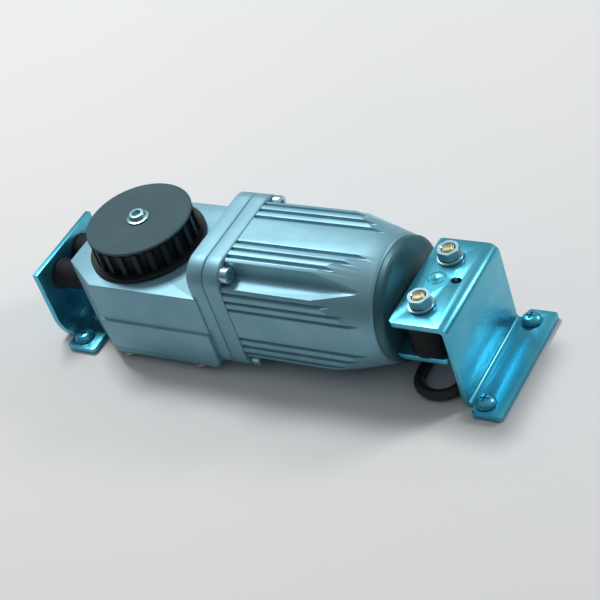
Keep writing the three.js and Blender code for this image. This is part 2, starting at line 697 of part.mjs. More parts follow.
function buildBrackets() {
  part("tail_bracket", tailBracket(), plated);
  part("tail_angle", tailAngle(), plated);
  part("front_bracket", frontBracket(), plated);
  SIDES.forEach((side, i) => {
    const { x, y } = TAIL_BUFFER;
    part(`tail_buffer_${i + 1}`, tailBuffer(side), rubber);
    part(`tail_washer_${i + 1}`, tube(6.4, 3.4, 1.2, 20).translate(x, side * y, TAIL.height + GAP), plated);
    part(`tail_nut_${i + 1}`, hexNut(10, 3.3, 4.4).translate(x, side * y, TAIL.height + 1.8), plated);
    part(`front_buffer_${i + 1}`, frontBuffer(side), rubber);
    part(`angle_screw_${i + 1}`, angleScrew(side), steel);
    part(`tail_foot_screw_${i + 1}`, footScrew(FOOT_SCREW.tailX, side), plated);
    part(`front_foot_screw_${i + 1}`, footScrew(FOOT_SCREW.frontX, side), plated);
  });
}

// ---- cable ----
function cableGrommet() {
  const r = CABLE.radius + GAP;
  return alongX(
    turned(
      [[r, 98.6], [4.1, 98.6], [4.1, 100.9], [5.4, 100.9], [5.4, 103.4], [4, 108], [r, 108], [r, 98.6]], 16,
    ),
    0, 0, CABLE.z,
  );
}

function motorCable() {
  const path = new THREE.CatmullRomCurve3(CABLE_ROUTE.map((point) => new THREE.Vector3(...point)));
  const section = new THREE.Shape();
  section.absarc(0, 0, CABLE.radius, 0, 2 * Math.PI);
  return new THREE.ExtrudeGeometry(section,
    { extrudePath: path, steps: CABLE.steps, curveSegments: 4, bevelEnabled: false });
}

function cableConnector() {
  const [x, y, z] = CABLE_ROUTE.at(-1);
  const shell = box(18, 13, 6.4).translate(x - 9.4, y, z - 2.9);
  return cut(shell, box(7, 10, 3.6).translate(x - 16.4, y, z - 1.5));
}

function buildCable() {
  part("cable_grommet", cableGrommet(), rubber);
  part("motor_cable", motorCable(), black);
  part("cable_connector", cableConnector(), plug);
}

buildGearbox();
buildTrain();
buildMotor();
buildBrackets();
buildCable();

// The part's own origin is on the sole plane, half way between the ends of the two feet
gearmotor.position.x = -(FRONT.web + TAIL.foot) / 2;
gearmotor.updateMatrixWorld(true);

export default gearmotor;
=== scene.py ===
"""Looks of the sliding-door gearmotor. Metres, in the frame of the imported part."""
import json
import math

import bmesh
import bpy
from mathutils import Matrix, Vector


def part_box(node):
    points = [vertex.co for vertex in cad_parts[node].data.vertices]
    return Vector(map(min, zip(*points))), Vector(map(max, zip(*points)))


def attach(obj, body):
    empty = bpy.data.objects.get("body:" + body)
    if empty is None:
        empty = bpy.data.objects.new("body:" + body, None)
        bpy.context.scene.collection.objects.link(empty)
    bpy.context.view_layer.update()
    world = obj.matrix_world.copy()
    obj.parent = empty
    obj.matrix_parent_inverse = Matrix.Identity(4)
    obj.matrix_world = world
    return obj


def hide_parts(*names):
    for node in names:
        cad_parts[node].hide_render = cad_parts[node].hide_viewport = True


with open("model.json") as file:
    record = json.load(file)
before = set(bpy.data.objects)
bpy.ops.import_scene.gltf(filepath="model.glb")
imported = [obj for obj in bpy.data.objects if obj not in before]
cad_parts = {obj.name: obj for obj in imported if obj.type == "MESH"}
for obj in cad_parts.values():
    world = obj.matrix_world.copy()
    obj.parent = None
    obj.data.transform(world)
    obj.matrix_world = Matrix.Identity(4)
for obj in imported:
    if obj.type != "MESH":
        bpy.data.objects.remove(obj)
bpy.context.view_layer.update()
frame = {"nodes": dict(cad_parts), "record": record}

MM = 0.001
TAU = 2 * math.pi
SIDES = (-1, 1)
TO_X = Matrix(((0, 0, 1, 0), (1, 0, 0, 0), (0, 1, 0, 0), (0, 0, 0, 1)))  # drawn along Z, lies along X
ALL_HEIGHTS = (-5, 90)  # mm, from below the whole part to above it

# ---- places taken from the frame ----
AXIS_Z = sum(c.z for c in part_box("motor_front_bell")) / 2
PULLEY_X = sum(c.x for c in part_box("pulley_cover_disc")) / 2


# =====================================================================================
# camera, cord route
# =====================================================================================
def make_camera():
    """The photograph's viewpoint and tilt, turned to the gearmotor with a longer lens."""
    eye = Vector((0.4556, -0.5076, 0.5559))
    target = Vector((0.0169, -0.0056, 0.030))
    down = Vector((0.1179, -0.6674, -0.7353))
    forward = (target - eye).normalized()
    up = -(down - forward * down.dot(forward)).normalized()
    right = forward.cross(up).normalized()
    camera = bpy.data.objects.new("camera", bpy.data.cameras.new("camera"))
    bpy.context.scene.collection.objects.link(camera)
    turn = Matrix((right, up, -forward)).transposed().to_4x4()
    camera.matrix_world = Matrix.Translation(eye) @ turn
    camera.data.lens, camera.data.sensor_width = 105.9, 36
    bpy.context.scene.camera = camera


# ---- the cord's route, in mm in the drawing's own frame ----
CABLE_ROUTE_MM = [
    (108.4, 0, 12), (111.4, 0, 12), (119.2, -2.1, 10.9), (125.1, -8, 8.1), (127.2, -16, 5.1),
    (125.6, -21.9, 3.5), (121.4, -26.1, 3), (115.5, -27.7, 3), (109.7, -26.1, 3),
    (105.4, -21.9, 3), (103.8, -16, 3), (103.8, -4, 3), (103.8, 8, 3), (103.8, 22, 3),
    (103.8, 36, 3), (102, 44, 3), (97.1, 49.2, 3), (90.3, 51, 3), (76, 51, 3), (56, 49.8, 3),
    (34, 49.4, 3), (10, 50.4, 3), (-16, 51.2, 3), (-42, 50.6, 3), (-66, 49.6, 3), (-84, 49.4, 3),
]
BELL_START = 9.3  # mm along X in the drawing, which starts at the gearbox side of the square flange
DRAWING_SHIFT = Vector((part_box("motor_front_bell")[0].x / MM - BELL_START, 0, 0))
CABLE_ROUTE = [(Vector(p) + DRAWING_SHIFT) * MM for p in CABLE_ROUTE_MM]
CABLE_RADIUS = 2.8 * MM


def from_flange(x):
    """mm along X in the drawing, as a frame coordinate in mm."""
    return x + DRAWING_SHIFT.x


def middle_of(node):
    low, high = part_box(node)
    return (low + high) / 2


def box_mm(node):
    """The lowest and highest corners of a node, in mm."""
    return [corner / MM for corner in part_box(node)]


# =====================================================================================
# mesh helpers
# =====================================================================================
def soften(points, reach, steps=4, closed=False, only=None):
    """Rounds the corners of a polyline: each is replaced by an arc that starts `reach` before it."""
    points = [Vector(p) for p in points]
    count = len(points)
    out = []
    for i, corner in enumerate(points):
        ends = not closed and i in (0, count - 1)
        if ends or (only is not None and i not in only):
            out.append(corner)
            continue
        before, after = points[i - 1] - corner, points[(i + 1) % count] - corner
        cut = min(reach, before.length * 0.49, after.length * 0.49)
        a, b = corner + before.normalized() * cut, corner + after.normalized() * cut
        for k in range(steps + 1):
            t = k / steps
            out.append(a * (1 - t) ** 2 + corner * 2 * t * (1 - t) + b * t * t)
    return out


def link(name, mesh, smooth=32):
    """A smooth-shaded object whose edges are sharp above the angle `smooth`, in degrees."""
    mesh.polygons.foreach_set("use_smooth", [True] * len(mesh.polygons))
    mesh.set_sharp_from_angle(angle=math.radians(smooth))
    obj = bpy.data.objects.new(name, mesh)
    bpy.context.scene.collection.objects.link(obj)
    return obj


def loft(name, rings, ends=True, loop=False, smooth=32):
    """Quads between rings of equal count; ends closed by a face, or the last ring joined to the first."""
    bm = bmesh.new()
    rows = [[bm.verts.new(p) for p in ring] for ring in rings]
    count = len(rows[0])
    for k in range(len(rows) - (0 if loop else 1)):
        low, high = rows[k], rows[(k + 1) % len(rows)]
        for i in range(count):
            j = (i + 1) % count
            bm.faces.new((low[i], low[j], high[j], high[i]))
    if ends and not loop:
        bm.faces.new(list(reversed(rows[0])))
        bm.faces.new(rows[-1])
    bmesh.ops.remove_doubles(bm, verts=bm.verts, dist=1e-7)
    bmesh.ops.dissolve_degenerate(bm, edges=bm.edges, dist=1e-8)
    bmesh.ops.recalc_face_normals(bm, faces=bm.faces)
    mesh = bpy.data.meshes.new(name)
    bm.to_mesh(mesh)
    bm.free()
    return link(name, mesh, smooth)


def lathe(name, profile, at=(0, 0, 0), along="z", segments=96, smooth=32):
    """profile: (radius, height) in mm, from axis to axis, or closing on itself."""
    profile = [Vector(p) for p in profile]
    loop = (profile[0] - profile[-1]).length < 1e-6
    if loop:
        profile = profile[:-1]
    rings = []
    for radius, height in profile:
        r = max(radius, 1e-5) * MM
        ring = [Vector((r * math.cos(TAU * i / segments), r * math.sin(TAU * i / segments), height * MM))
                for i in range(segments)]
        rings.append(ring)
    obj = loft(name, rings, ends=not loop, loop=loop, smooth=smooth)
    return place(obj, at, along)


def place(obj, at, along="z"):
    """Moves the mesh itself, so that the object stays at the origin."""
    if along == "x":
        obj.data.transform(TO_X)
    obj.data.transform(Matrix.Translation(Vector(at)))
    return obj


def prism(name, outline, low, high, at=(0, 0, 0), along="z", smooth=32):
    """outline: 2D points in mm; from height low to high in mm."""
    rings = [[Vector((p[0] * MM, p[1] * MM, h * MM)) for p in outline] for h in (low, high)]
    return place(loft(name, rings, smooth=smooth), at, along)


def across_y(name, outline, half, smooth=32):
    """A side view in (x, z), mm, made into a solid about y = 0."""
    rings = [[Vector((p[0] * MM, side * half * MM, p[1] * MM)) for p in outline] for side in SIDES]
    return loft(name, rings, smooth=smooth)


def circle(radius, count=48, x=0.0, y=0.0):
    return [(x + radius * math.cos(TAU * i / count), y + radius * math.sin(TAU * i / count))
            for i in range(count)]


def rod_profile(radius, low, high):
    """Half section of a plain rod, for a lathe."""
    return [(0, low), (radius, low), (radius, high), (0, high)]


def hexagon(across):
    return circle(across / math.sqrt(3), 6)


def rounded_square(size, radius, steps=14):
    h = size / 2 - radius
    points = []
    for quarter, (cx, cy) in enumerate(((h, h), (-h, h), (-h, -h), (h, -h))):
        for k in range(steps + 1):
            a = (quarter + k / steps) * TAU / 4
            points.append((cx + radius * math.cos(a), cy + radius * math.sin(a)))
    return points


def settle(obj, smooth=32):
    """Applies the object's modifiers to its mesh."""
    bpy.context.view_layer.update()
    done = bpy.data.meshes.new_from_object(obj.evaluated_get(bpy.context.evaluated_depsgraph_get()))
    obj.modifiers.clear()
    obj.data = done
    done.polygons.foreach_set("use_smooth", [True] * len(done.polygons))
    done.set_sharp_from_angle(angle=math.radians(smooth))
    return obj


def combine(obj, others, how, smooth=32):
    for other in others:
        step = obj.modifiers.new("combine", "BOOLEAN")
        step.operation = how
        step.solver = "EXACT"
        step.object = other
    settle(obj, smooth)
    for other in others:
        bpy.data.objects.remove(other)
    return obj


def cut(obj, *others, smooth=32):
    return combine(obj, others, "DIFFERENCE", smooth)


def join(obj, *others, smooth=32):
    return combine(obj, others, "UNION", smooth)


def common(obj, *others, smooth=32):
    return combine(obj, others, "INTERSECT", smooth)


def clean(obj):
    """Joins the flat faces that a cut has split."""
    bm = bmesh.new()
    bm.from_mesh(obj.data)
    bmesh.ops.remove_doubles(bm, verts=bm.verts, dist=2e-6)
    bmesh.ops.dissolve_limit(bm, angle_limit=math.radians(0.5), verts=bm.verts, edges=bm.edges)
    bm.to_mesh(obj.data)
    bm.free()
    return obj


def bevel(obj, width, segments=3, angle=32, smooth=32):
    clean(obj)
    step = obj.modifiers.new("bevel", "BEVEL")
    step.width = width * MM
    step.segments = segments
    step.limit_method = "ANGLE"
    step.angle_limit = math.radians(angle)
    step.use_clamp_overlap = True
    step.miter_outer = "MITER_ARC"
    return settle(obj, smooth)


def thread(name, radius, low, high, pitch, depth, at, along="z", segments=40):
    """A rod with a real helical thread, in mm."""
    per_turn = 10
    rows = max(2, int((high - low) / pitch * per_turn))
    rings = []
    for k in range(rows + 1):
        h = low + (high - low) * k / rows
        fade = min(1.0, (high - h) / pitch)
        ring = []
        for i in range(segments):
            wave = abs(((h / pitch - i / segments) % 1.0) * 2 - 1)
            r = (radius - depth * wave - (1 - fade) * depth) * MM
            a = TAU * i / segments
            ring.append(Vector((r * math.cos(a), r * math.sin(a), h * MM)))
        rings.append(ring)
    return place(loft(name, rings, smooth=50), at, along)


# =====================================================================================
# materials
# =====================================================================================
def node_material(name):
    material = bpy.data.materials.new(name)
    material.use_nodes = True
    nodes, links = material.node_tree.nodes, material.node_tree.links
    shader = nodes["Principled BSDF"]
    where = nodes.new("ShaderNodeTexCoord")
    return material, nodes, links, shader, where.outputs["Object"]


def stretched(nodes, links, source, scale):
    mapping = nodes.new("ShaderNodeMapping")
    mapping.inputs["Scale"].default_value = scale
    links.new(source, mapping.inputs["Vector"])
    return mapping.outputs["Vector"]


def noise(nodes, links, source, scale, detail=4.0, roughness=0.55):
    texture = nodes.new("ShaderNodeTexNoise")
    texture.inputs["Scale"].default_value = scale
    texture.inputs["Detail"].default_value = detail
    texture.inputs["Roughness"].default_value = roughness
    links.new(source, texture.inputs["Vector"])
    return texture.outputs["Fac"]


def ramp(nodes, links, source, stops):
    """stops: (position, colour) pairs; a colour is three numbers, or one grey."""
    element = nodes.new("ShaderNodeValToRGB")
    bar = element.color_ramp
    while len(bar.elements) < len(stops):
        bar.elements.new(0.5)
    for item, (position, colour) in zip(bar.elements, stops):
        item.position = position
        rgb = (colour,) * 3 if isinstance(colour, (int, float)) else colour
        item.color = (*rgb, 1)
    links.new(source, element.inputs["Fac"])
    return element.outputs["Color"]


def bumps(nodes, links, shader, layers):
    """layers: (height socket, strength, distance in metres), chained into the normal."""
    normal = None
    for height, strength, distance in layers:
        step = nodes.new("ShaderNodeBump")
        step.inputs["Strength"].default_value = strength
        step.inputs["Distance"].default_value = distance
        links.new(height, step.inputs["Height"])
        if normal:
            links.new(normal, step.inputs["Normal"])
        normal = step.outputs["Normal"]
    links.new(normal, shader.inputs["Normal"])


def metal(name, dark, light, rough, grain=(1, 1, 1), patch=55, fine=2600, dent=0.25, metallic=0.9,
          swell=0.1):
    """Cast or plated metal: cloudy tint, streaky or grainy gloss and a fine surface."""
    material, nodes, links, shader, where = node_material(name)
    shader.inputs["Metallic"].default_value = metallic
    clouds = noise(nodes, links, where, patch, 5.0)
    links.new(ramp(nodes, links, clouds, [(0.3, dark), (0.7, light)]), shader.inputs["Base Color"])
    along = stretched(nodes, links, where, grain)
    streaks = noise(nodes, links, along, fine, 3.0, 0.6)
    gloss = ramp(nodes, links, streaks, [(0.25, rough[0]), (0.75, rough[1])])
    links.new(gloss, shader.inputs["Roughness"])
    bumps(nodes, links, shader, [(streaks, dent, 0.00006), (clouds, swell, 0.0004)])
    return material


def plastic(name, dark, light, rough, fine=1800, dent=0.3, patch=70, shine=0.5):
    """Moulded or pressed matter: a faintly uneven tint and gloss over a fine grain."""
    material, nodes, links, shader, where = node_material(name)
    clouds = noise(nodes, links, where, patch, 6.0)
    links.new(ramp(nodes, links, clouds, [(0.3, dark), (0.7, light)]), shader.inputs["Base Color"])
    grain = noise(nodes, links, where, fine, 2.0)
    links.new(ramp(nodes, links, grain, [(0.3, rough[0]), (0.7, rough[1])]), shader.inputs["Roughness"])
    shader.inputs["Specular IOR Level"].default_value = shine
    bumps(nodes, links, shader, [(grain, dent, 0.00008)])
    return material


def turned_plastic(name, dark, light, rough):
    """Moulded disc with fine concentric marks about the pulley axis."""
    material, nodes, links, shader, where = node_material(name)
    centred = nodes.new("ShaderNodeMapping")
    centred.inputs["Location"].default_value = (-PULLEY_X, 0, 0)
    links.new(where, centred.inputs["Vector"])
    wave = nodes.new("ShaderNodeTexWave")
    wave.wave_type = "RINGS"
    wave.rings_direction = "Z"
    wave.inputs["Scale"].default_value = 260
    wave.inputs["Distortion"].default_value = 1.2
    links.new(centred.outputs["Vector"], wave.inputs["Vector"])
    clouds = noise(nodes, links, where, 60, 6.0)
    links.new(ramp(nodes, links, clouds, [(0.3, dark), (0.7, light)]), shader.inputs["Base Color"])
    grain = noise(nodes, links, where, 2400, 2.0)
    links.new(ramp(nodes, links, grain, [(0.3, rough[0]), (0.7, rough[1])]), shader.inputs["Roughness"])
    shader.inputs["Specular IOR Level"].default_value = 0.3
    bumps(nodes, links, shader, [(grain, 0.2, 0.00006), (wave.outputs["Fac"], 0.12, 0.00005)])
    return material


def make_materials():
    cast_dark, cast_light = (0.19, 0.40, 0.49), (0.24, 0.46, 0.55)
    zinc_dark, zinc_light = (0.06, 0.42, 0.58), (0.13, 0.52, 0.67)
    return {
        "cast": metal("cast_aluminium", cast_dark, cast_light, (0.46, 0.56), fine=1500, dent=0.3,
                      metallic=0.5),
        "drawn": metal("drawn_aluminium", cast_dark, cast_light, (0.42, 0.50), grain=(0.03, 1, 1),
                       fine=1400, dent=0.25, metallic=0.5),
        # the end cap is a darker teal than the cast aluminium of the body
        "end_cap": metal("end_cap_satin", (0.030, 0.115, 0.145), (0.045, 0.145, 0.180), (0.42, 0.52),
                         fine=1800, dent=0.2, metallic=0.4),
        "zinc": metal("zinc_plated", zinc_dark, zinc_light, (0.26, 0.33), fine=1300, patch=60, dent=0.05,
                      metallic=0.85, swell=0.05),
        "bright": metal("bright_plated", (0.38, 0.62, 0.70), (0.46, 0.69, 0.77), (0.27, 0.31), fine=260,
                        patch=40, dent=0.03, swell=0.01),
        "steel": metal("ground_steel", (0.50, 0.54, 0.56), (0.60, 0.63, 0.64), (0.25, 0.30), fine=300,
                       patch=30, dent=0.03, swell=0.01),
        "stud": metal("yellow_passivated", (0.52, 0.49, 0.28), (0.72, 0.66, 0.40), (0.28, 0.4), fine=900,
                      dent=0.08, swell=0.02),
        "rubber": plastic("black_rubber", (0.006, 0.009, 0.010), (0.012, 0.016, 0.018), (0.65, 0.8),
                          shine=0.25),
        "pulley_black": plastic("pulley_plastic", (0.008, 0.012, 0.014), (0.014, 0.020, 0.022), (0.45, 0.6),
                                shine=0.3),
        "disc_grey": turned_plastic("disc_plastic", (0.034, 0.080, 0.098), (0.044, 0.096, 0.116),
                                    (0.58, 0.68)),
        "laminations": metal("laminations", (0.25, 0.26, 0.27), (0.4, 0.41, 0.42), (0.35, 0.5)),
        "winding": plastic("enamelled_wire", (0.35, 0.12, 0.03), (0.55, 0.22, 0.07), (0.2, 0.35), fine=900,
                           dent=0.6),
        "bronze": metal("bronze", (0.45, 0.28, 0.12), (0.62, 0.42, 0.2), (0.25, 0.4)),
        "magnet": metal("magnet", (0.1, 0.1, 0.11), (0.16, 0.16, 0.17), (0.35, 0.5)),
        "circuit_board": plastic("solder_mask", (0.02, 0.12, 0.05), (0.04, 0.2, 0.08), (0.25, 0.4)),
        "gasket_fibre": plastic("gasket_fibre", (0.06, 0.055, 0.05), (0.13, 0.12, 0.1), (0.8, 0.95),
                                fine=900, dent=0.6),
        "cable_sheath": plastic("cable_sheath", (0.012, 0.013, 0.014), (0.022, 0.024, 0.026), (0.42, 0.58)),
        "connector_shell": plastic("connector_nylon", (0.62, 0.62, 0.58), (0.76, 0.76, 0.72), (0.35, 0.5),
                                   fine=1400, dent=0.2),
    }


def finish_piece(obj, material, body, slot, *replaced):
    """Dresses a piece, parents it to its body and hides the CAD nodes it stands for; its record slot is not
    used.
    """
    obj.data.materials.clear()
    obj.data.materials.append(MATERIALS[material])
    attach(obj, body)
    if replaced:
        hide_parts(*replaced)
    return obj


# =====================================================================================
# motor
# =====================================================================================
BODY = {"corner": 17, "bore": 28.2, "rim": 30.8, "taper": 0.27, "reach": 46}
CHANNEL = 22.3  # inner corner of the bolt channels, from the motor axis
GROOVES = (9.4, 14.3, 19.2)
GROOVE_WIDTH, GROOVE_DEPTH = 1.9, 1.7
LIP, CHANNEL_CORNER = 0.42, 2.4  # roundings


def body_section():
    """The grooved square with right-angle bolt channels, lips and roots rounded."""
    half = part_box("motor_housing")[1].y / MM
    centre = half - BODY["corner"]

    def edge(away):
        past = max(0.0, away - centre)
        return centre + math.sqrt(BODY["corner"] ** 2 - past ** 2)

    eighth = [(half, 0.0), (half, GROOVES[0] - 3)]
    for i, groove in enumerate(GROOVES):
        low, high = groove - GROOVE_WIDTH / 2, groove + GROOVE_WIDTH / 2
        floor = edge(groove) - GROOVE_DEPTH
        eighth += [(edge(low), low), (floor, low + 0.4), (floor, high - 0.4), (edge(high), high)]
        after = GROOVES[i + 1] if i + 1 < len(GROOVES) else CHANNEL + GROOVE_WIDTH / 2
        if i > 0:
            between = (groove + after) / 2
            eighth.append((edge(between), between))
    eighth.append((edge(CHANNEL), CHANNEL))
    quarter = eighth + [(CHANNEL, CHANNEL)] + [(b, a) for a, b in reversed(eighth[1:])]
    points = []
    for turn in range(4):
        c, s = (1, 0, -1, 0)[turn], (0, 1, 0, -1)[turn]
        points += [Vector((x * c - y * s, x * s + y * c)) for x, y in quarter]
    inner = len(eighth)
    roots = {inner + k * (2 * inner) for k in range(4)}
    lips = set(range(len(points))) - roots
    rounded = soften(points, LIP, steps=3, closed=True, only=lips)
    near = 1e-4
    corners = [i for i, p in enumerate(rounded)
               if abs(abs(p.x) - CHANNEL) < near and abs(abs(p.y) - CHANNEL) < near]
    return soften(rounded, CHANNEL_CORNER, steps=6, closed=True, only=corners)


def make_body():
    low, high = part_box("motor_housing")
    length = (high.x - low.x) / MM
    at = (low.x, 0, AXIS_Z)
    bar = prism("motor_body", body_section(), 0, length, at, "x")
    reach, rim = BODY["reach"], BODY["rim"]
    straight = length - (reach - rim) / BODY["taper"]
    profile = [(0, -1), (reach, -1), (reach, straight), (rim, length - 1.4), (rim - 1.3, length),
               (0, length)]
    cone = lathe("cone", soften(profile, 1.2, steps=5, only=(3, 4)), at, "x", 200)
    bore = lathe("bore", rod_profile(BODY["bore"], -2, length + 2), at, "x", 96)
    common(bar, cone)
    cut(bar, bore, smooth=24)
    return finish_piece(bar, "drawn", "housing", "cast", "motor_housing")


BOLT = {"place": 26.6, "hole": 2.8, "head": 4.0, "shank": 2.5}
CORNERS = [(-1, 1), (1, 1), (1, -1), (-1, -1)]
FLANGE_RADIUS = 12
MOTOR_BEARING = 11.3  # radius of its seats
GAP = 0.3  # between neighbours that touch on the real object


def at_corner(x, corner):
    """A bolt's place; x in metres."""
    y, z = corner
    return (x, y * BOLT["place"] * MM, AXIS_Z + z * BOLT["place"] * MM)


def square_plate(name, low_x, high_x):
    """Rounded square with its four bolt holes; x in metres."""
    low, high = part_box("motor_front_bell")
    outline = rounded_square((high.y - low.y) / MM, FLANGE_RADIUS)
    plate = prism(name, outline, 0, (high_x - low_x) / MM, (low_x, 0, AXIS_Z), "x")
    bevel(plate, 0.7, 3)
    holes = [lathe("hole", rod_profile(BOLT["hole"], -9, 40), at_corner(low_x, corner), "x", 32)
             for corner in CORNERS]
    return cut(plate, *holes)


def make_bell():
    low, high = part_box("motor_front_bell")
    plate = square_plate("front_bell", low.x, high.x)
    at = (low.x, 0, AXIS_Z)
    cut(plate, lathe("shaft", rod_profile(5, -5, 20), at, "x", 48),
        lathe("seat", rod_profile(MOTOR_BEARING, 1.6, 20), at, "x", 64))
    return finish_piece(plate, "cast", "housing", "cast", "motor_front_bell")


def make_end_cap():
    low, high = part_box("rear_end_cap")
    at = (low.x, 0, AXIS_Z)
    face = (high.x - low.x) / MM
    step = (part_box("motor_housing")[1].x - low.x) / MM + GAP
    rim, spigot = BODY["rim"] - 0.8, BODY["bore"] - 0.4
    profile = [(0, 0), (spigot, 0), (spigot, step), (rim, step), (rim, face - 1.2), (rim - 2.2, face),
               (0, face)]
    cap = lathe("tail_cap", soften(profile, 0.9, 5, only=(4, 5)), at, "x", 160, smooth=25)
    hollow = [(12.6, -1), (25.6, -1), (25.6, 7), (12.6, 7), (12.6, -1)]
    cutters = [
        lathe("ring", hollow, at, "x", 64),
        lathe("seat", rod_profile(MOTOR_BEARING, -1, 7.2), at, "x", 64),
        lathe("lead", rod_profile(4.4, -1, 30), (low.x, 0, middle_of("cable_grommet").z), "x", 48),
    ]
    for i in (1, 2):
        node = f"angle_screw_{i}"
        middle = middle_of(node)
        blind = (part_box(node)[0].x - low.x) / MM - 0.4
        cutters.append(lathe("screw", rod_profile(2.1, blind, 30), (low.x, middle.y, middle.z), "x", 24))
    cut(cap, *cutters, smooth=25)
    return finish_piece(cap, "end_cap", "housing", "end_cap", "rear_end_cap")


def make_flange_bolts():
    """Socket cap screws: a rounded head with a hexagon socket, on a plain shank."""
    head, shank = BOLT["head"], BOLT["shank"]
    for i, corner in enumerate(CORNERS, 1):
        node = f"flange_bolt_{i}"
        low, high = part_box(node)
        seat = (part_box("motor_front_bell")[1].x - low.x) / MM + GAP
        end = (high.x - low.x) / MM
        at = at_corner(low.x, corner)
        profile = [(0, 0), (shank, 0), (shank, seat), (head, seat), (head, end), (0, end)]
        bolt = lathe(f"bolt_{i}", soften(profile, 0.55, 4, only=(1, 3, 4)), at, "x", 48)
        cut(bolt, prism("socket", hexagon(4), end - 2.6, end + 1, at, "x"), smooth=30)
        finish_piece(bolt, "bright", "housing", "zinc", node)


# =====================================================================================
# gearbox
# =====================================================================================
BOX = {"corner": -62.5, "half": 34, "nose": 19, "bottom": 8.3, "top": 49.5, "ledge": 27, "lip": 1.4}
CAVITY = {"from": -65, "to": -9, "half": 26.5, "top": 39}
COVER = {"low": 3.8, "high": 7.0, "pan": 5.6}
WORM = {"y": -17.5, "z": 30.787}
OUTPUT_BEARING, OUTPUT_SEAL, LOWER_BEARING = 14.3, 11.3, 13.2  # radii of their seats


def box_plan(lip):
    """The box seen from above: square at the flange, with its far corners cut off."""
    half, nose = BOX["half"] + lip, BOX["nose"]
    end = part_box("gearbox_housing")[0].x / MM
    corner, flange = from_flange(BOX["corner"]), from_flange(2)
    return [(flange, -half), (flange, half), (corner, half), (end, nose), (end, -nose), (corner, -half)]


def make_gearbox():
    bottom, top = BOX["bottom"], BOX["top"]
    casting = prism("gearbox_casting", box_plan(0), bottom, top)
    join(casting, prism("lower", box_plan(BOX["lip"]), bottom, BOX["ledge"]))
    bevel(casting, 1.5, 4)
    join(casting, square_plate("flange", from_flange(0) * MM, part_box("gearbox_housing")[1].x))

    far, near, half = from_flange(CAVITY["from"]), from_flange(CAVITY["to"]), CAVITY["half"]
    room = [(far, -half), (near, -half), (near, half), (far, half)]
    worm = (WORM["y"] * MM, WORM["z"] * MM)
    bores = (  # line, radius, start and length along it
        (worm, 14.2, 2, 9),  # spur gear
        ((0, AXIS_Z), 8.4, 2, 9),  # motor pinion
        (worm, 9.8, CAVITY["to"] - 1, 7),  # worm bearing at the flange
        (worm, 6.2, CAVITY["to"] + 4, 12),  # worm shaft
        (worm, 8.3, CAVITY["from"] - 7, 8),  # worm bearing at the far end
    )
    axis = PULLEY_X / MM
    cut(
        casting,
        prism("room", soften(room, 3, 4, closed=True), bottom - 1, CAVITY["top"]),
        *[lathe("bore", rod_profile(radius, 0, length), (from_flange(start) * MM, *line), "x", 64)
          for line, radius, start, length in bores],
        prism("seat", circle(OUTPUT_BEARING, 72, axis), CAVITY["top"] - 1, CAVITY["top"] + 8.3),
        prism("seal", circle(OUTPUT_SEAL, 72, axis), top - 4, top + 2),
        smooth=28,
    )
    return finish_piece(casting, "cast", "housing", "cast", "gearbox_housing")


def make_cover():
    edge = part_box("gearbox_cover")[1].x / MM
    plan = [(min(x, edge), y) for x, y in box_plan(0)]
    plate = prism("bottom_cover", plan, COVER["low"], COVER["high"])
    bevel(plate, 0.6, 3)
    on_axis = (PULLEY_X, 0, 0)
    join(plate, lathe("seat", rod_profile(16, 5, 14), on_axis, "z", 72))
    cut(plate, prism("bearing", circle(LOWER_BEARING, 72, PULLEY_X / MM), COVER["pan"], 20))
    ring = [(9, 3.0), (15, 3.0), (15, 4.2), (9, 4.2), (9, 3.0)]
    join(plate, lathe("boss", soften(ring, 0.3, 3, only=(1, 2)), on_axis, "z", 72))
    finish_piece(plate, "cast", "housing", "cast", "gearbox_cover")
    profile = [(0, 1.6), (2.9, 1.6), (3.5, 2.3), (3.5, 3.5), (2, 3.5), (2, 17), (0, 17)]
    for i in range(1, 5):
        middle = middle_of(f"cover_screw_{i}")
        screw = lathe(f"cover_pan_screw_{i}", soften(profile, 0.5, 4, only=(1, 2, 3)),
                      (middle.x, middle.y, 0), "z", 40)
        cut(screw, *cross_recess(middle, 1.0, 4.6, 0.4, 2.6))
        finish_piece(screw, "steel", "housing", "steel", f"cover_screw_{i}")


def cross_recess(middle, width, length, low, high):
    """The two bars of a cross recess, as cutters."""
    bars = []
    for w, h in ((length, width), (width, length)):
        outline = [(sx * w / 2, sy * h / 2) for sx, sy in ((-1, -1), (1, -1), (1, 1), (-1, 1))]
        bars.append(prism("bar", outline, low, high, (middle.x, middle.y, 0)))
    return bars


# =====================================================================================
# pulley
# =====================================================================================
PULLEY = {"teeth": 22, "pitch": 8, "groove": 2.55, "depth": 3.3}


def tooth_outline():
    """Curved grooves of an 8 mm belt: round bottoms, small rounded lips."""
    teeth = PULLEY["teeth"]
    tip = teeth * PULLEY["pitch"] / TAU - 0.7
    step = TAU / teeth
    groove, depth = PULLEY["groove"], PULLEY["depth"]
    points = []
    for tooth in range(teeth):
        middle = tooth * step
        for k in range(5):
            a = middle + (k / 4 - 0.5) * step * 0.34
            points.append(Vector((tip * math.cos(a), tip * math.sin(a))))
        hollow = middle + step / 2
        centre = tip - depth + groove
        for k in range(9):
            t = math.pi * (0.5 + (k + 0.6) / 9.2)
            radial, side = centre + groove * math.cos(t), -groove * math.sin(t)
            a = hollow + side / radial
            points.append(Vector((radial * math.cos(a), radial * math.sin(a))))
    return points


